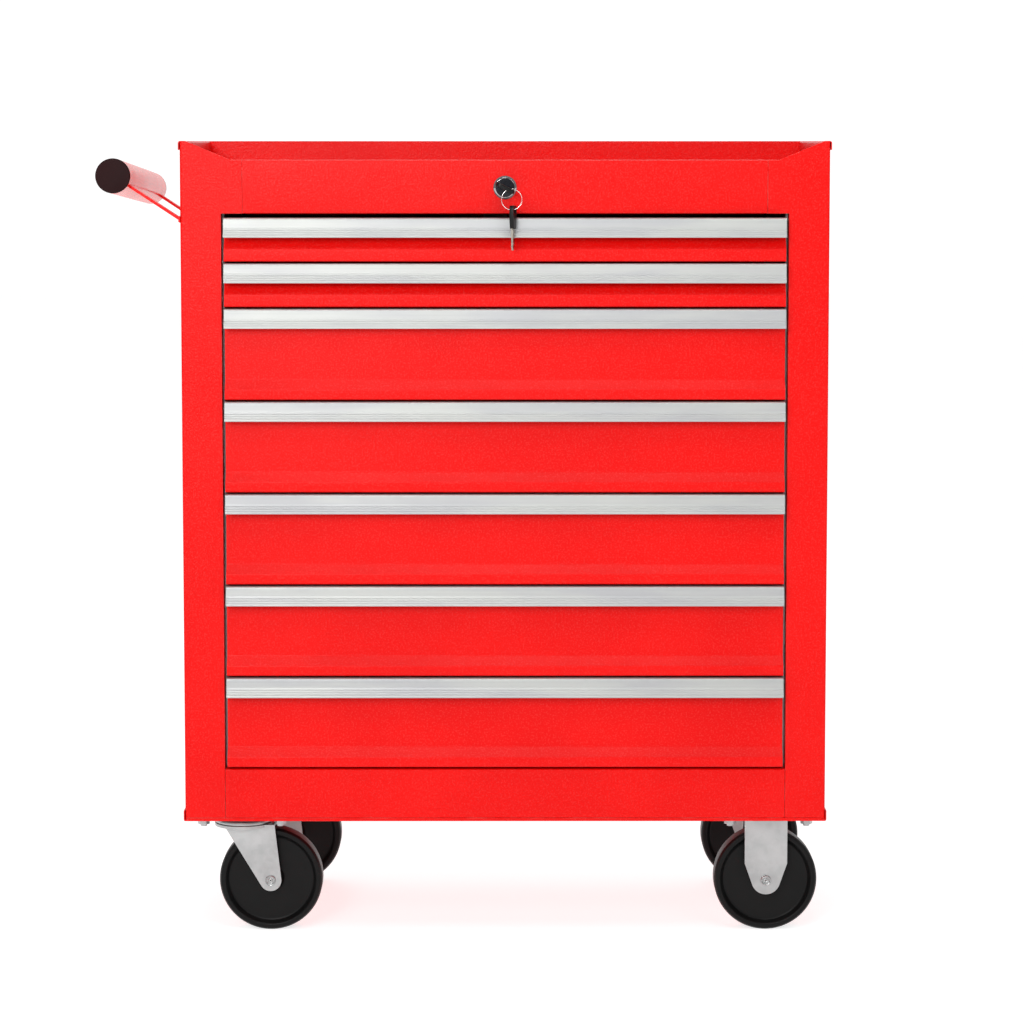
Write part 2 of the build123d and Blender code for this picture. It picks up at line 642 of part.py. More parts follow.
def mounting_plate(x, y):
    """A caster's flat plate under the pan, with its four bolt holes."""
    outline = RectangleRounded(*PLATE, PLATE_CORNER)
    plate = Pos(x, y, PLATE_BOTTOM) * extrude(outline, PLATE_METAL)
    for spot in plate_bolt_spots(x, y):
        plate -= bar(BOLT_RADIUS + FIT, (*spot, PLATE_BOTTOM - 1), (*spot, CABINET_BOTTOM + 1))
    return plate


def swivel_plates():
    """The plates of the swivel casters, each with a pressed ball race and a skirt."""
    outer = CROWN_RADIUS - 1
    plates = []
    for centre in swivel_spots.values():
        race = bar(outer, (*centre, RACE_BOTTOM), (*centre, PLATE_BOTTOM))
        race -= bar(RACE_BORE, (*centre, RACE_BOTTOM), (*centre, PLATE_BOTTOM))
        skirt = bar(outer, (*centre, RACE_BOTTOM - SKIRT), (*centre, RACE_BOTTOM))
        skirt -= bar(outer - SKIRT_METAL, (*centre, RACE_BOTTOM - SKIRT), (*centre, RACE_BOTTOM))
        plate = mounting_plate(*centre) + race + skirt
        plates.append(plate - bar(KINGPIN_RADIUS + FIT, (*centre, PLATE_BOTTOM - 1),
                                  (*centre, CABINET_BOTTOM + 1)))
    return group(*plates)


def swivel_balls():
    """The ring of balls between each fork's crown and its plate."""
    z = (CROWN_BOTTOM + CROWN_METAL + RACE_BOTTOM) / 2
    ring = PolarLocations(BALL_CIRCLE, BALL_COUNT)
    balls = [Pos(*centre, z) * spot * Sphere(BALL_RADIUS)
             for centre in swivel_spots.values() for spot in ring]
    return group(*balls)


def kingpins():
    """The rivets that the forks swivel on."""
    head_radius, head_height = KINGPIN_HEAD
    head_top = CROWN_BOTTOM - 2 * FIT
    pins = []
    for centre in swivel_spots.values():
        head = bar(head_radius, (*centre, head_top - head_height), (*centre, head_top))
        shank = bar(KINGPIN_RADIUS, (*centre, head_top), (*centre, CABINET_BOTTOM - FIT))
        pins.append(head + shank)
    return group(*pins)


def leg(x, y0, eye, corners):
    """A flat leg: the hull of a round eye at the axle and the corners above it."""
    rim = Circle(eye).edges() + Polyline(*corners, close=True).edges()
    return Pos(x, y0, WHEEL_RADIUS) * extrude(Plane.XZ * make_hull(rim), FORK_METAL, dir=(0, 1, 0))


def axle_line(x, y, reach, radius):
    """A round bar along a wheel's axle, reaching out either way from its middle."""
    return bar(radius, (x, y - reach, WHEEL_RADIUS), (x, y + reach, WHEEL_RADIUS))


def fork(x, y):
    """A swivel caster's fork: a crown round the kingpin and two raked legs to the axle."""
    wheel_x = x + TRAIL
    crown_top = CROWN_BOTTOM + CROWN_METAL
    outer = LEG_GAP + FORK_METAL
    left, right = FORK_TOP
    body = bar(CROWN_RADIUS, (x, y, CROWN_BOTTOM), (x, y, crown_top))
    body += block(wheel_x + left, wheel_x + right, y - outer, y + outer, CROWN_BOTTOM, crown_top)
    rise = crown_top - WHEEL_RADIUS
    corners = [(left, rise - 1), (right, rise - 1), (right, rise), (left, rise)]
    for y0 in (y - outer, y + LEG_GAP):
        body += leg(wheel_x, y0, FORK_EYE, corners)
    body -= bar(KINGPIN_RADIUS + FIT, (x, y, CROWN_BOTTOM - 1), (x, y, crown_top + 1))
    return body - axle_line(wheel_x, y, outer + 1, AXLE_RADIUS + FIT)


def fixed_brackets():
    """The two fixed casters' brackets: a plate and two legs that taper to the axle."""
    brackets = []
    outer = LEG_GAP + FORK_METAL
    top = PLATE_BOTTOM + OVERLAP - WHEEL_RADIUS
    shoulder = BRACKET_SHOULDER - WHEEL_RADIUS
    corners = [(-BRACKET_HALF, shoulder), (BRACKET_HALF, shoulder), (BRACKET_HALF, top),
               (-BRACKET_HALF, top)]
    for y in CASTER_YS.values():
        bracket = mounting_plate(FIXED_PLATE_X, y)
        for y0 in (y - outer, y + LEG_GAP):
            bracket += leg(FIXED_WHEEL_X, y0, BRACKET_EYE, corners)
        brackets.append(bracket - axle_line(FIXED_WHEEL_X, y, outer + 1, AXLE_RADIUS + FIT))
    return group(*brackets)


def axle(x, y):
    """A headed axle through both legs."""
    outer = LEG_GAP + FORK_METAL + FIT
    pin = axle_line(x, y, outer, AXLE_RADIUS)
    for end in (-1, 1):
        head = bar(AXLE_HEAD_RADIUS, (x, y + end * outer, WHEEL_RADIUS),
                   (x, y + end * (outer + AXLE_HEAD), WHEEL_RADIUS))
        pin += fillet(head.edges().sort_by(Axis.Y)[0 if end < 0 else -1], AXLE_DOME)
    return pin


def wheel(x, y):
    """A moulded wheel: hub, thin web, stepped rim and a rounded tread."""
    bore = AXLE_RADIUS + WHEEL_BORE_FIT
    near = [(bore, WHEEL_HALF[0][0])] + [(r, half) for half, r in WHEEL_HALF]
    near.append((WHEEL_RADIUS, TREAD_EDGE))
    outline = near + [(r, -half) for r, half in reversed(near)]
    disc = revolve(make_face(Polyline(*outline, close=True)), Axis.Y)
    return Pos(x, y, WHEEL_RADIUS) * disc


drawer_tops = [FIRST_DRAWER_TOP - sum(PITCHES[:index]) for index in range(len(PITCHES))]
swivel_spots = {end: (SWIVEL_XS[end], y) for end, y in CASTER_YS.items()}
fixed_spots = [(FIXED_PLATE_X, y) for y in CASTER_YS.values()]
caster_bolt_spots = [bolt for centre in [*swivel_spots.values(), *fixed_spots]
                     for bolt in plate_bolt_spots(*centre)]

nodes["left_side_panel"] = side_panel()
nodes["right_side_panel"] = mirrored(side_panel())
nodes["back_panel"] = back_panel()
nodes["back_screws"] = back_screws()
nodes["bottom_pan"] = bottom_pan()
nodes["top_tray"] = top_tray()
nodes["front_top_rail"] = front_top_rail()
nodes["front_bottom_rail"] = front_bottom_rail()
nodes["slide_posts"] = slide_posts()

left_rails = []
right_rails = []
for number, (top, pitch) in enumerate(zip(drawer_tops, PITCHES), start=1):
    slide_z = top - (pitch - DRAWER_GAP - BOX_FLOOR_RISE + BOX_TOP_DROP) / 2
    right_rails.append(fixed_rail(slide_z, pitch))
    left_rails.append(mirrored(right_rails[-1]))
    right_runner = runner(slide_z, pitch)
    nodes[f"drawer_{number}_box"] = drawer_box(top, pitch)
    nodes[f"drawer_{number}_pull"] = pull(top)
    nodes[f"drawer_{number}_runners"] = group(right_runner, mirrored(right_runner))
nodes["left_fixed_rails"] = group(*left_rails)
nodes["right_fixed_rails"] = group(*right_rails)

nodes["lock_housing"] = lock_housing()
nodes["lock_nut"] = lock_nut()
nodes["lock_plug"] = lock_plug()
nodes["lock_rod"] = lock_rod()
nodes["lock_bar"] = lock_bar()
nodes["lock_guides"] = lock_guides()
nodes["key_blade"] = key_blade()
nodes["key_grip"] = key_grip()
ring_place = Pos(RING_OFFSET[0], GRIP_HOLE_Y, LOCK_Z + RING_OFFSET[1]) * Rot(X=90)
nodes["key_ring"] = ring_place * Torus(RING_RADIUS, RING_WIRE)

nodes["handle_tube"] = handle_tube()
nodes["handle_caps"] = handle_caps()
nodes["handle_brackets"] = handle_brackets()

nodes["swivel_plates"] = swivel_plates()
nodes["swivel_balls"] = swivel_balls()
nodes["kingpins"] = kingpins()
nodes["fixed_brackets"] = fixed_brackets()
nodes["caster_bolts"] = caster_bolts()
nodes["fixed_axles"] = group(*[axle(FIXED_WHEEL_X, y) for y in CASTER_YS.values()])
for end, (x, y) in swivel_spots.items():
    nodes[f"{end}_fork"] = fork(x, y)
    nodes[f"{end}_swivel_axle"] = axle(x + TRAIL, y)
    nodes[f"{end}_swivel_wheel"] = wheel(x + TRAIL, y)
    nodes[f"{end}_fixed_wheel"] = wheel(FIXED_WHEEL_X, y)

whole = Compound(list(nodes.values())).bounding_box()
to_origin = Pos(-whole.center().X, -whole.center().Y, -whole.min.Z)
print("moved by", to_origin.position, "size", whole.size)
for name, shape in nodes.items():
    export_step(to_origin * shape, f"parts/{name}.step")
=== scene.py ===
import json
import math
import bpy
import bmesh
from mathutils import Matrix, Vector

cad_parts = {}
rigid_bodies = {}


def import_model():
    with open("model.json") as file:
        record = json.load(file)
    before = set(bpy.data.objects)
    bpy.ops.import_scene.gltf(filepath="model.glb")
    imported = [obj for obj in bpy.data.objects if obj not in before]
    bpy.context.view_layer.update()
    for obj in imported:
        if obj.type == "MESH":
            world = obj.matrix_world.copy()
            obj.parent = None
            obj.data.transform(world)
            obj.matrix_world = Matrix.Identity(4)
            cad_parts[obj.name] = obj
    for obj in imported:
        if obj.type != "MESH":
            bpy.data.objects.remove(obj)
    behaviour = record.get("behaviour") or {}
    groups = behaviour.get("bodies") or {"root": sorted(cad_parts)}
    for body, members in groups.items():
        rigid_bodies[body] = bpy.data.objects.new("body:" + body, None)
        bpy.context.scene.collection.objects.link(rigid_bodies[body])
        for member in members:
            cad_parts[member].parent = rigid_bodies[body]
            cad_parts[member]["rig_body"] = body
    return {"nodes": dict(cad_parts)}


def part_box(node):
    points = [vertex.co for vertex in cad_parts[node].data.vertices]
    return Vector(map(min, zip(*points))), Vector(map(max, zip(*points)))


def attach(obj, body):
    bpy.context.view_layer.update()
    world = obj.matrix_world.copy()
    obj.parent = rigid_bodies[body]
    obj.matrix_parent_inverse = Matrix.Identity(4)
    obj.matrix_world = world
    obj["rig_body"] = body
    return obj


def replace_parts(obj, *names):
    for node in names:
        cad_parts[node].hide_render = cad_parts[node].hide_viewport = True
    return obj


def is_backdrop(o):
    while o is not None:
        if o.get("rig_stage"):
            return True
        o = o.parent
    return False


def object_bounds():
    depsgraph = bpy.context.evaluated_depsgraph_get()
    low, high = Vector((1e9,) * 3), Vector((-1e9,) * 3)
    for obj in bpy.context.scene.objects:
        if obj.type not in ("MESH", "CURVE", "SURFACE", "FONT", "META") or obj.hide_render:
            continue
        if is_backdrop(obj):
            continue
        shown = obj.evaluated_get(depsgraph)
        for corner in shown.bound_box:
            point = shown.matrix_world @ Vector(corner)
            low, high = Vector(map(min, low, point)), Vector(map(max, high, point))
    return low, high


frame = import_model()
cad_low, cad_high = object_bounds()


# Cabinet: sides, back, floor pan, open tray and the two front rails, folded from sheet steel,
# spot welded, and powder coated red inside and out. The coat has a fine orange peel. Its folds
# and the peel's crests are painted paler red in broken streaks, as painted highlights.
MM = 0.001


class Mask:
    """A node's output, worked out further with + - and *."""

    def __init__(self, finish, socket):
        self.finish = finish
        self.socket = socket

    def worked(self, operation, first, second):
        return self.finish.node("ShaderNodeMath", {"operation": operation}, {0: first, 1: second})

    def __add__(self, other):
        return self.worked("ADD", self, other)

    def __sub__(self, other):
        return self.worked("SUBTRACT", self, other)

    def __rsub__(self, other):
        return self.worked("SUBTRACT", other, self)

    def __mul__(self, other):
        return self.worked("MULTIPLY", self, other)

    __radd__ = __add__
    __rmul__ = __mul__


class Finish:
    """A surface finish: one shader, and the nodes that vary it over the piece."""

    def __init__(self, name, **constants):
        self.material = bpy.data.materials.new(name)
        self.material.use_nodes = True
        self.tree = self.material.node_tree
        self.shader = self.tree.nodes["Principled BSDF"]
        self.feed(self.shader, {key.replace("_", " "): value for key, value in constants.items()})
        self.place = self.node("ShaderNodeTexCoord", {}, {}, "Object")

    def feed(self, node, sockets):
        """Link or set a node's sockets."""
        for key, value in sockets.items():
            if isinstance(value, Mask):
                self.tree.links.new(value.socket, node.inputs[key])
            else:
                node.inputs[key].default_value = value

    def node(self, kind, settings, sockets, output=0):
        """Add a node: its settings first, then its sockets."""
        made = self.tree.nodes.new(kind)
        for key, value in settings.items():
            setattr(made, key, value)
        self.feed(made, sockets)
        return Mask(self, made.outputs[output])

    def noise(self, scale, detail=3.0, stretch=(1.0, 1.0, 1.0)):
        """Noise of that many cells in a metre, drawn out along any axis with a small stretch."""
        place = self.node("ShaderNodeMapping", {}, {"Vector": self.place, "Scale": stretch})
        return self.node("ShaderNodeTexNoise", {},
                         {"Vector": place, "Scale": scale, "Detail": detail}, "Fac")

    def between(self, mask, low, high):
        """0 below low, 1 above high, and a soft step from one to the other."""
        return self.node("ShaderNodeMapRange", {"interpolation_type": "SMOOTHSTEP"},
                         {"Value": mask, "From Min": low, "From Max": high})

    def blend(self, mask, first, second):
        """first where the mask is 0, second where it is 1."""
        first = first if isinstance(first, Mask) else (*first, 1.0)
        return self.node("ShaderNodeMix", {"data_type": "RGBA"},
                         {0: mask, 6: first, 7: (*second, 1.0)}, 2)

    def folds(self, radius):
        """1 on sharp folds and cut edges, 0 on the flats."""
        worn = self.node("ShaderNodeBevel", {"samples": 4}, {"Radius": radius})
        flat = self.node("ShaderNodeNewGeometry", {}, {}, "Normal")
        turn = self.node("ShaderNodeVectorMath", {"operation": "DOT_PRODUCT"},
                         {0: worn, 1: flat}, "Value")
        return self.between(1.0 - turn, *FOLD_TURN)

    def relief(self, height, depth, strength=1.0):
        """Raise the surface by height times depth."""
        bump = self.node("ShaderNodeBump", {},
                         {"Strength": strength, "Distance": depth, "Height": height}, "Normal")
        self.feed(self.shader, {"Normal": bump})


FOLD_TURN = (0.02, 0.25)
FOLD_HIGHLIGHT_RADIUS = 0.9 * MM
PEEL_DEPTH = 0.34 * MM
COAT_RED = (0.80, 0.0032, 0.0022)
COAT_DEEP = (0.75, 0.0020, 0.0014)
# Pale red of the painted highlights on folds and peel crests.
COAT_HIGHLIGHT = (0.90, 0.16, 0.14)
PEEL_PER_METRE = 620.0

red_paint = Finish("red_powder_coat", Specular_IOR_Level=0.14)
peel = red_paint.noise(PEEL_PER_METRE, 2.0)
haze = red_paint.noise(7.0, 3.0)
highlight_breaks = red_paint.noise(160.0, 4.0, (0.25, 1.0, 1.0))
smear = red_paint.noise(14.0, 5.0, (0.35, 1.0, 1.6))
tone_and_highlight = red_paint.blend(red_paint.between(haze, 0.35, 0.65), COAT_RED, COAT_DEEP)
# Painted highlight: folds, broken into streaks, and the orange peel's crests are lightened towards
# pale red, where bends and crests would catch the lamps.
fold_highlight = red_paint.folds(FOLD_HIGHLIGHT_RADIUS) * red_paint.between(highlight_breaks, 0.42, 0.62) * 0.55
peel_glint = red_paint.between(peel, 0.50, 0.66) * 0.09
tone_and_highlight = red_paint.blend(fold_highlight + peel_glint, tone_and_highlight, COAT_HIGHLIGHT)
gloss = 0.30 + haze * 0.08 + red_paint.between(smear, 0.55, 0.75) * 0.10
red_paint.feed(red_paint.shader, {"Base Color": tone_and_highlight, "Roughness": gloss})
red_paint.relief(peel, PEEL_DEPTH)


SHEET_EASE = 0.18 * MM
CREASE = 30.0


def shaded(bm, crease):
    """Smooth the curved faces and keep the edges sharper than crease."""
    for face in bm.faces:
        face.smooth = True
    for edge in bm.edges:
        edge.smooth = edge.is_manifold and edge.calc_face_angle() < math.radians(crease)


def placed(name, bm, finish, node, crease=CREASE, body=None):
    """Make a piece from a mesh, with the finish, on that node's body unless one is named."""
    shaded(bm, crease)
    mesh = bpy.data.meshes.new(name)
    bm.to_mesh(mesh)
    bm.free()
    mesh.materials.append(finish.material)
    piece = bpy.data.objects.new(name, mesh)
    bpy.context.scene.collection.objects.link(piece)
    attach(piece, body or frame["nodes"][node]["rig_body"])
    return piece


def eased(node, finish, name, ease=SHEET_EASE):
    """A piece of the node's own shape with its flats joined and its edges eased."""
    bm = bmesh.new()
    bm.from_mesh(frame["nodes"][node].data)
    bmesh.ops.remove_doubles(bm, verts=bm.verts, dist=0.002 * MM)
    bmesh.ops.dissolve_limit(bm, angle_limit=math.radians(0.3), verts=bm.verts, edges=bm.edges)
    piece = placed(name, bm, finish, node)
    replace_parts(piece, node)
    if ease:
        rounding = piece.modifiers.new("eased_edges", "BEVEL")
        rounding.width = ease
        rounding.segments = 2
        rounding.limit_method = "ANGLE"
        rounding.angle_limit = math.radians(CREASE)
        rounding.harden_normals = True


for node in ("left_side_panel", "right_side_panel", "back_panel", "bottom_pan", "top_tray",
             "front_top_rail", "front_bottom_rail"):
    eased(node, red_paint, node + "_painted")


# Inner works: posts, slides, lock linkage and bolts are plain steel, bright zinc plated in a
# barrel. The plate is satin, with faint spangles and handling marks, and paler on its edges.
ZINC_DARK = (0.38, 0.39, 0.39)
ZINC_PALE = (0.51, 0.52, 0.52)
ZINC_EDGE = (0.75, 0.75, 0.75)

zinc = Finish("bright_zinc", Metallic=1.0)
crystals = zinc.node("ShaderNodeTexVoronoi", {}, {"Vector": zinc.place, "Scale": 210.0}, "Color")
spangle = zinc.node("ShaderNodeSeparateColor", {}, {"Color": crystals})
cloud = zinc.noise(45.0, 5.0)
scratch = zinc.noise(900.0, 2.0, (0.12, 1.0, 1.0))
shade = spangle * 0.08 + cloud * 0.92
zinc_tone = zinc.blend(zinc.between(shade, 0.25, 0.75), ZINC_DARK, ZINC_PALE)
zinc_tone = zinc.blend(zinc.folds(0.7 * MM) * 0.6, zinc_tone, ZINC_EDGE)
zinc.feed(zinc.shader, {"Base Color": zinc_tone, "Roughness": 0.30 + cloud * 0.16})
zinc.relief(cloud + scratch * 0.15, 0.05 * MM, 0.5)


def coated(node, finish):
    """Give a node's own solid a finish."""
    for slot in frame["nodes"][node].material_slots:
        slot.material = finish.material


for node in ("slide_posts", "left_fixed_rails", "right_fixed_rails", "lock_nut", "lock_rod",
             "lock_bar", "lock_guides", "swivel_balls", "kingpins"):
    coated(node, zinc)
eased("caster_bolts", zinc, "caster_bolts_plated", 0.3 * MM)


# Drawers: seven boxes of thin sheet with a folded front, hemmed sides and a tab for the lock,
# spot welded, and coated like the cabinet. Each rides on zinc plated runners.
for number in range(1, 8):
    eased(f"drawer_{number}_box", red_paint, f"drawer_{number}_box_painted", 0.15 * MM)
    coated(f"drawer_{number}_runners", zinc)


# Pulls: one aluminium extrusion per drawer, hooked over the drawer's front. Its lower half
# slopes out to a rolled lip and has three fine grooves. Brushed along its length, then
# anodised clear.
ALUMINIUM_COOL = (0.42, 0.425, 0.435)
ALUMINIUM_WARM = (0.475, 0.485, 0.47)
ALUMINIUM_SCRATCH = (0.39, 0.395, 0.39)

aluminium = Finish("brushed_aluminium", Metallic=0.6)
brushed = aluminium.noise(1400.0, 2.0, (0.004, 1.0, 1.0))
band = aluminium.noise(60.0, 3.0, (0.12, 1.0, 1.0))
drift = aluminium.noise(9.0, 2.0)
tint = aluminium.blend(aluminium.between(band, 0.35, 0.65), ALUMINIUM_COOL, ALUMINIUM_WARM)
tint = aluminium.blend(aluminium.between(brushed, 0.45, 0.80) * 0.3, tint, ALUMINIUM_SCRATCH)
aluminium.feed(aluminium.shader, {"Base Color": tint, "Roughness": 0.42 + drift * 0.14})
aluminium.relief(brushed, 0.006 * MM, 0.4)

# Section of the extrusion in mm: y from the drawer's front face, z from the pull's top.
PULL_BEHIND = 8.0
PULL_EASE = 0.16 * MM
GROOVE_HALF = 0.5
GROOVE_DEPTH = 0.4
PULL_FACE = [(8, 0), (-7.8, 0), (-9.3, -0.6), (-9.8, -2), (-10, -9)]
PULL_SLOPE = (-3.4, -8.6)
PULL_GROOVES = (0.25, 0.5, 0.75)
PULL_REAR = [(-13.4, -17.6), (-13, -18.5), (-12.2, -18.3), (-8.5, -9.3), (-8.2, -3), (-7, -1.5),
             (-1.9, -1.5), (-1.9, -11), (-0.2, -11), (-0.2, -1.5), (8, -1.5)]


def closed_wire(bm, points):
    """A closed loop of edges through the points."""
    verts = [bm.verts.new(point) for point in points]
    for pair in zip(verts, verts[1:] + verts[:1]):
        bm.edges.new(pair)
    return verts


def thickened(bm, way):
    """Draw the flat faces out into a solid."""
    drawn = bmesh.ops.extrude_face_region(bm, geom=bm.faces)
    moved = [part for part in drawn["geom"] if isinstance(part, bmesh.types.BMVert)]
    bmesh.ops.translate(bm, verts=moved, vec=way)
    bmesh.ops.recalc_face_normals(bm, faces=bm.faces)


def pull_section():
    """The extrusion's outline, with a small notch for each groove."""
    run = Vector(PULL_SLOPE)
    inward = Vector((-run.y, run.x)).normalized()
    half = run.normalized() * GROOVE_HALF
    start = Vector(PULL_FACE[-1])
    points = list(PULL_FACE)
    for share in PULL_GROOVES:
        middle = start + run * share
        points += [middle - half, middle + inward * GROOVE_DEPTH, middle + half]
    return points + PULL_REAR


for number in range(1, 8):
    node = f"drawer_{number}_pull"
    low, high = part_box(node)
    bm = bmesh.new()
    face = high.y - PULL_BEHIND * MM
    corners = closed_wire(bm, [(low.x, face + y * MM, high.z + z * MM) for y, z in pull_section()])
    bmesh.ops.bevel(bm, geom=corners, offset=PULL_EASE, segments=2, profile=0.5, material=-1,
                    affect="VERTICES")
    bmesh.ops.contextual_create(bm, geom=bm.edges)
    thickened(bm, (high.x - low.x, 0, 0))
    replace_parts(placed(node + "_extruded", bm, aluminium, node, 40.0), node)


# Lock: a chromed brass housing with a bevelled bezel, and a turning plug behind a gloss black
# dust face with a keyway.
chrome = Finish("polished_chrome", Metallic=1.0)
haze = chrome.noise(120.0, 3.0)
chrome.feed(chrome.shader, {
    "Base Color": chrome.blend(haze, (0.42, 0.43, 0.44), (0.55, 0.55, 0.55)),
    "Roughness": 0.06 + haze * 0.10})

gloss_black = Finish("gloss_black", Specular_IOR_Level=0.3, Coat_Weight=0.15, Coat_Roughness=0.04)
swirl = gloss_black.noise(260.0, 4.0)
gloss_black.feed(gloss_black.shader, {
    "Base Color": gloss_black.blend(swirl, (0.002, 0.0025, 0.005), (0.009, 0.010, 0.016)),
    "Roughness": 0.14 + swirl * 0.16})
gloss_black.relief(swirl, 0.02 * MM, 0.4)


def middle(node):
    """The middle of a node's box."""
    low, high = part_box(node)
    return (low + high) / 2


def turned(outline, centre, axis, ease, steps=96):
    """A closed ring: an outline of (radius, along) points eased and spun about the axis."""
    bm = bmesh.new()
    centre, axis = Vector(centre), Vector(axis)
    points = [centre + Vector((radius * MM, 0, 0)) + axis * along * MM for radius, along in outline]
    corners = closed_wire(bm, points)
    bmesh.ops.bevel(bm, geom=corners, offset=ease * MM, segments=3, profile=0.5, material=-1,
                    affect="VERTICES")
    bmesh.ops.spin(bm, geom=list(bm.verts) + list(bm.edges), cent=centre, axis=axis,
                   angle=math.tau, steps=steps, use_merge=True)
    bmesh.ops.remove_doubles(bm, verts=bm.verts, dist=0.001 * MM)
    bmesh.ops.recalc_face_normals(bm, faces=bm.faces)
    return bm


lock_at = middle("lock_plug")
bezel_low, bezel_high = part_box("lock_housing")
bezel_face = Vector((lock_at.x, bezel_low.y, (bezel_low.z + bezel_high.z) / 2))
# Outline of the housing in mm: radius, and depth behind the bezel's face.
BEZEL = [(7.6, 22.6), (7.6, 0.5), (8.0, 0.0), (9.3, 0.0), (11.2, 1.7), (11.2, 2.6), (9.0, 2.6),
         (9.0, 22.6)]
housing = turned(BEZEL, bezel_face, (0, 1, 0), 0.15)
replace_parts(placed("lock_housing_chromed", housing, chrome, "lock_housing", 40.0), "lock_housing")
eased("lock_plug", gloss_black, "lock_plug_face", 0.12 * MM)


# Keys: a nickel plated steel blade moulded into a black grip with a long hole. One key is
# in the lock, and its spare hangs edge on from the same thin split ring.
nickel = Finish("nickel_plate", Metallic=1.0)
dull = nickel.noise(240.0, 4.0)
nickel.feed(nickel.shader, {
    "Base Color": nickel.blend(dull, (0.22, 0.19, 0.15), (0.46, 0.43, 0.38)),
    "Roughness": 0.18 + dull * 0.2})

ring_wire = Finish("ring_wire", Metallic=1.0)
bright = ring_wire.noise(300.0, 3.0)
ring_wire.feed(ring_wire.shader, {
    "Base Color": ring_wire.blend(bright, (0.80, 0.79, 0.77), (0.90, 0.89, 0.87)),
    "Roughness": 0.12 + bright * 0.15})


def moulded(name, dark, light, rough, grain, shine=0.16):
    """A black plastic finish with a fine moulded grain."""
    finish = Finish(name, Specular_IOR_Level=shine)
    fine = finish.noise(grain, 3.0)
    cloud = finish.noise(60.0, 3.0)
    finish.feed(finish.shader, {"Base Color": finish.blend(cloud, dark, light),
                                "Roughness": rough + cloud * 0.14})
    finish.relief(fine, 0.03 * MM, 0.4)
    return finish


key_plastic = moulded("key_plastic", (0.004, 0.004, 0.004), (0.010, 0.010, 0.010), 0.28, 1500.0)
eased("key_blade", nickel, "key_blade_plated", 0.1 * MM)


eased("key_grip", key_plastic, "key_grip_moulded", 0.2 * MM)

RING_RADIUS = 9.65 * MM
WIRE_RADIUS = 0.34 * MM
RING_PITCH = 0.5 * MM
RING_TURNS = 2
RING_STEPS = 240
ring_at = middle("key_ring")
bm = bmesh.new()
wire_start = ring_at + Vector((RING_RADIUS, -RING_PITCH / 2, 0))
bmesh.ops.create_circle(bm, segments=10, radius=WIRE_RADIUS, matrix=Matrix.Translation(wire_start))
bmesh.ops.spin(bm, geom=list(bm.verts) + list(bm.edges), cent=ring_at, axis=(0, 1, 0),
               dvec=(0, RING_PITCH / RING_STEPS, 0), angle=RING_TURNS * math.tau,
               steps=RING_STEPS, use_merge=False)
bmesh.ops.holes_fill(bm, edges=bm.edges, sides=10)
bmesh.ops.recalc_face_normals(bm, faces=bm.faces)
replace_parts(placed("key_ring_split", bm, ring_wire, "key_ring", 50.0), "key_ring")

# The spare, drawn flat and hanging down from the top of its grip, in mm.
GRIP_HALF = 6.8
GRIP_WAIST = 4.896
GRIP_SHOULDER = -13.64
GRIP_END = -22.0
GRIP_THICK = 3.8
GRIP_ROUND = 2.856
GRIP_RIM = 0.7
HOLE_HALF = 4.0
HOLE_TOP = -2.7
HOLE_BOTTOM = -7.7
HOLE_ROUND = 2.45
BLADE_TOP = -21.0
BLADE_THICK = 1.8
GRIP_OUTLINE = [(-GRIP_HALF, 0), (GRIP_HALF, 0), (GRIP_HALF, GRIP_SHOULDER), (GRIP_WAIST, GRIP_END),
                (-GRIP_WAIST, GRIP_END), (-GRIP_HALF, GRIP_SHOULDER)]
HOLE_OUTLINE = [(-HOLE_HALF, HOLE_TOP), (HOLE_HALF, HOLE_TOP), (HOLE_HALF, HOLE_BOTTOM),
                (-HOLE_HALF, HOLE_BOTTOM)]
BLADE_OUTLINE = [(-3.9, 0), (3.9, 0), (3.9, -4), (2.6, -5.2), (3.6, -7), (2.3, -8.5), (3.4, -10.5),
                 (2.0, -12), (3.2, -14), (2.2, -15.5), (2.8, -17.5), (0.2, -21), (-2.2, -21),
                 (-3.9, -18.5)]
SPARE_FROM_RING = Vector((1.3, 2.2, -5.8)) * MM
SPARE_TURN = math.radians(76)
hang = Matrix.Translation(ring_at + SPARE_FROM_RING) @ Matrix.Rotation(SPARE_TURN, 4, "Z")


def flat_outline(bm, points, thick, top=0.0):
    """A closed outline of a flat piece, at the front of its thickness."""
    return closed_wire(bm, [(x * MM, -thick * MM / 2, (z + top) * MM) for x, z in points])


bm = bmesh.new()
for points, radius, segments in ((GRIP_OUTLINE, GRIP_ROUND, 6), (HOLE_OUTLINE, HOLE_ROUND, 5)):
    corners = flat_outline(bm, points, GRIP_THICK)
    bmesh.ops.bevel(bm, geom=corners, offset=radius * MM, segments=segments, profile=0.5,
                    material=-1, affect="VERTICES")
bmesh.ops.triangle_fill(bm, edges=bm.edges, use_beauty=True)
thickened(bm, (0, GRIP_THICK * MM, 0))
rims = [edge for edge in bm.edges if edge.calc_face_angle(0) > math.radians(60)]
bmesh.ops.bevel(bm, geom=rims, offset=GRIP_RIM * MM, segments=3, profile=0.5, material=-1,
                affect="EDGES", clamp_overlap=True)
bmesh.ops.transform(bm, matrix=hang, verts=bm.verts)
placed("spare_key_grip", bm, key_plastic, "key_grip", body="ring")

bm = bmesh.new()
flat_outline(bm, BLADE_OUTLINE, BLADE_THICK, BLADE_TOP)
bmesh.ops.contextual_create(bm, geom=bm.edges)
thickened(bm, (0, BLADE_THICK * MM, 0))
bmesh.ops.transform(bm, matrix=hang, verts=bm.verts)
placed("spare_key_blade", bm, nickel, "key_blade", body="ring")


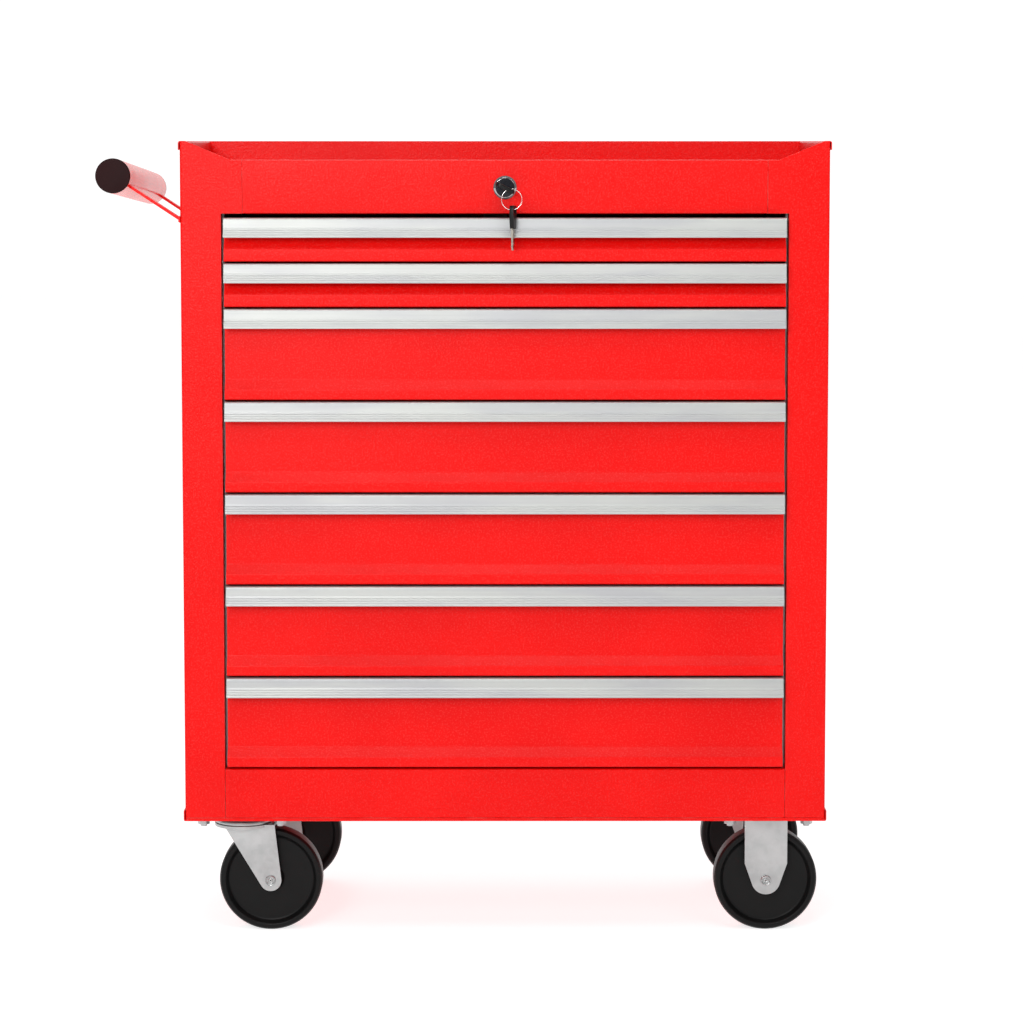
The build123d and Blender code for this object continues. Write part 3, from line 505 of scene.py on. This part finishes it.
# Push handle: a round steel tube with a moulded cap in each end, on two flat straps welded to
# the left side. Tube and straps are coated red, and hands have rubbed the tube glossy.
cap_plastic = moulded("cap_plastic", (0.014, 0.004, 0.0045), (0.025, 0.008, 0.0085), 0.45,
                      1300.0, 0.06)
grip_coat = Finish("handle_coat")
smear = grip_coat.noise(30.0, 4.0)
fine = grip_coat.noise(700.0, 2.0)
grip_coat.feed(grip_coat.shader, {
    "Base Color": grip_coat.blend(smear, (0.80, 0.03, 0.018), (0.88, 0.06, 0.04)),
    "Roughness": 0.16 + smear * 0.14})
grip_coat.relief(fine, 0.008 * MM, 0.4)
eased("handle_tube", grip_coat, "handle_tube_painted", 0.0)
eased("handle_brackets", red_paint, "handle_brackets_painted", 0.25 * MM)
eased("handle_caps", cap_plastic, "handle_caps_moulded", 0.0)


# Wheels: solid moulded black plastic, with a hub, a thin web, a stepped rim and a rounded
# tread. The outline is in mm: radius, and half the width there.
wheel_plastic = moulded("wheel_plastic", (0.0030, 0.0030, 0.0030), (0.0065, 0.0065, 0.0065), 0.34,
                        1100.0)
WHEEL_NEAR = [(4.06, 14.8), (10.6, 14.8), (12.6, 7.6), (14.0, 7.0), (39.5, 7.0), (41.2, 7.4),
              (43.6, 11.6), (44.6, 12.6), (48.2, 12.6), (50.0, 9.5)]
WHEEL_OUTLINE = WHEEL_NEAR + [(radius, -half) for radius, half in reversed(WHEEL_NEAR)]
for node in ("front_swivel_wheel", "rear_swivel_wheel", "front_fixed_wheel", "rear_fixed_wheel"):
    wheel = turned(WHEEL_OUTLINE, middle(node), (0, 1, 0), 0.5, 128)
    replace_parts(placed(node + "_moulded", wheel, wheel_plastic, node, 35.0), node)


# Axles: tubular steel rivets, zinc plated, with a ringed head on each end. The head's outline
# is in mm: radius, and depth behind its face.
AXLE_HEAD = [(0.6, 2.0), (0.6, 0.7), (1.2, 0.5), (2.0, 0.6), (2.6, 1.2), (3.4, 1.2), (3.9, 0.3),
             (4.5, 0.0), (5.0, 0.7), (5.0, 2.2)]
AXLE_RADIUS = 4.0


def axle(low, high):
    """A riveted axle: a round bar with a ringed head on each end."""
    centre = (low + high) / 2
    half = (high.y - low.y) / 2 / MM
    near = [(radius, along - half) for radius, along in AXLE_HEAD]
    far = [(radius, -along) for radius, along in reversed(near)]
    return turned(near + [(AXLE_RADIUS, near[-1][1]), (AXLE_RADIUS, -near[-1][1])] + far,
                  centre, (0, 1, 0), 0.08, 48)


def joined(*shapes):
    """Several shapes in one mesh."""
    whole = bmesh.new()
    for shape in shapes:
        mesh = bpy.data.meshes.new("shape")
        shape.to_mesh(mesh)
        shape.free()
        whole.from_mesh(mesh)
        bpy.data.meshes.remove(mesh)
    return whole


for node in ("front_swivel_axle", "rear_swivel_axle"):
    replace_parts(placed(node + "_riveted", axle(*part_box(node)), zinc, node), node)
low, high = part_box("fixed_axles")
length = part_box("front_swivel_axle")[1].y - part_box("front_swivel_axle")[0].y
front_axle = axle(low, Vector((high.x, low.y + length, high.z)))
rear_axle = axle(Vector((low.x, high.y - length, low.z)), high)
pair = joined(front_axle, rear_axle)
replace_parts(placed("fixed_axles_riveted", pair, zinc, "fixed_axles"), "fixed_axles")


# Forks and fixed brackets: pressed from thick sheet with rounded edges, and zinc plated.
for node in ("front_fork", "rear_fork", "fixed_brackets"):
    eased(node, zinc, node + "_pressed", 0.35 * MM)


# Swivel races: a shallow pressed dish on each fork closes the ball race under the top plate,
# and its rolled edge turns with the fork. The top plate is near black as painted shade, for the
# shadow under the pan. The dish's outline is in mm: radius, height.
# Painted shade: the swivel plates get a near black finish for the shadow that falls under the pan.
race_shade = Finish("race_painted_shade", Metallic=0.7)
race_mottle = race_shade.noise(180.0, 4.0)
race_shade.feed(race_shade.shader, {
    "Base Color": race_shade.blend(race_mottle, (0.02, 0.02, 0.021), (0.07, 0.07, 0.07)),
    "Roughness": 0.32 + race_mottle * 0.2})
eased("swivel_plates", race_shade, "swivel_plates_pressed", 0.35 * MM)
CROWN = 28.0
DISH = [(23.6, 0.0), (25.6, 0.2), (27.2, 1.3), (27.9, 3.0), (27.6, 4.8), (26.6, 6.0), (26.0, 5.4),
        (26.7, 4.4), (26.9, 3.0), (26.3, 1.9), (25.2, 1.2), (23.6, 1.0)]
for node, axle_node in (("front_fork", "front_swivel_axle"), ("rear_fork", "rear_swivel_axle")):
    low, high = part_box(node)
    crown = Vector((low.x + CROWN * MM, middle(axle_node).y, high.z - 1.0 * MM))
    dish = turned(DISH, crown, (0, 0, 1), 0.25, 72)
    placed(node + "_dish", dish, zinc, node, 50.0)


# Back screws: domed steel screws, zinc plated, that hold the back in the sides' flanges.
eased("back_screws", zinc, "back_screws_plated", 0.0)


# Studio: a wide pale floor, a pale room that is brighter behind the chest, and five soft lamps.
# The camera stands in front of the chest, level with its rim, and looks slightly down.
FLOOR_RADIUS = 14.0
FLOOR_GLOW = 0.74
ROOM_DIM = 0.22
ROOM_BRIGHT = 1.0
ROOM_SEEN = 1.1
bm = bmesh.new()
bmesh.ops.create_circle(bm, cap_ends=True, segments=96, radius=FLOOR_RADIUS)
mesh = bpy.data.meshes.new("studio_floor")
bm.to_mesh(mesh)
bm.free()
floor_finish = Finish("studio_floor", Roughness=0.9, Specular_IOR_Level=0.0)
mottle = floor_finish.noise(0.8, 2.0)
floor_finish.feed(floor_finish.shader, {
    "Base Color": floor_finish.blend(mottle, (0.52, 0.52, 0.52), (0.56, 0.56, 0.56))})
floor_finish.feed(floor_finish.shader, {"Emission Color": (1, 1, 1, 1),
                                        "Emission Strength": FLOOR_GLOW})
mesh.materials.append(floor_finish.material)
floor = bpy.data.objects.new("studio_floor", mesh)
bpy.context.scene.collection.objects.link(floor)
floor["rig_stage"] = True

world = bpy.data.worlds.new("studio_room")
bpy.context.scene.world = world
world.use_nodes = True
backdrop = world.node_tree.nodes["Background"]
backdrop.inputs["Color"].default_value = (1.0, 1.0, 1.0, 1.0)
way = world.node_tree.nodes.new("ShaderNodeTexCoord")
split = world.node_tree.nodes.new("ShaderNodeSeparateXYZ")
depth = world.node_tree.nodes.new("ShaderNodeMapRange")
depth.interpolation_type = "SMOOTHSTEP"
depth.inputs["From Min"].default_value = -0.3
depth.inputs["From Max"].default_value = 0.8
depth.inputs["To Min"].default_value = ROOM_DIM
depth.inputs["To Max"].default_value = ROOM_BRIGHT
seen = world.node_tree.nodes.new("ShaderNodeLightPath")
level = world.node_tree.nodes.new("ShaderNodeMix")
level.inputs["B"].default_value = ROOM_SEEN
join = world.node_tree.links.new
join(way.outputs["Generated"], split.inputs["Vector"])
join(split.outputs["Y"], depth.inputs["Value"])
join(seen.outputs["Is Camera Ray"], level.inputs["Factor"])
join(depth.outputs["Result"], level.inputs["A"])
join(level.outputs["Result"], backdrop.inputs["Strength"])

chest = (cad_low + cad_high) / 2


def lamp(name, place, size, power, aim=(0, 0, 0)):
    """A square soft lamp at a place from the chest's middle, facing its aim."""
    light = bpy.data.lights.new(name, "AREA")
    light.size = size
    light.energy = power
    holder = bpy.data.objects.new(name, light)
    holder.location = chest + Vector(place)
    way = chest + Vector(aim) - holder.location
    holder.rotation_euler = way.to_track_quat("-Z", "Y").to_euler()
    bpy.context.scene.collection.objects.link(holder)


lamp("lamp_key", (-0.85, -2.3, 1.15), 0.8, 15.0, (0, 0, 0.25))
lamp("lamp_gleam", (-0.65, -3.0, 0.88), 0.5, 22.0, (-0.2, 0, 0.3))
lamp("lamp_right", (1.2, -2.2, 1.3), 0.9, 8.0, (0, 0, 0.25))
lamp("lamp_top", (0.0, -1.3, 2.4), 1.0, 20.0)
lamp("lamp_back", (0.0, 2.2, 2.0), 1.8, 14.0)

CAMERA_AWAY = 3.211
CAMERA_HEIGHT = 0.764
CAMERA_DOWN = 5.19
CAMERA_ASIDE = 0.118
eye = bpy.data.cameras.new("camera")
eye.sensor_width = 36.0
eye.lens = 119.04
eye.shift_y = -0.06
camera = bpy.data.objects.new("camera", eye)
camera.location = (lock_at.x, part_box("front_top_rail")[0].y - CAMERA_AWAY, CAMERA_HEIGHT)
camera.rotation_euler = (math.radians(90 - CAMERA_DOWN), 0, -math.radians(CAMERA_ASIDE))
bpy.context.scene.collection.objects.link(camera)
bpy.context.scene.camera = camera
bpy.context.scene.view_settings.view_transform = "Standard"

low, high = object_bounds()
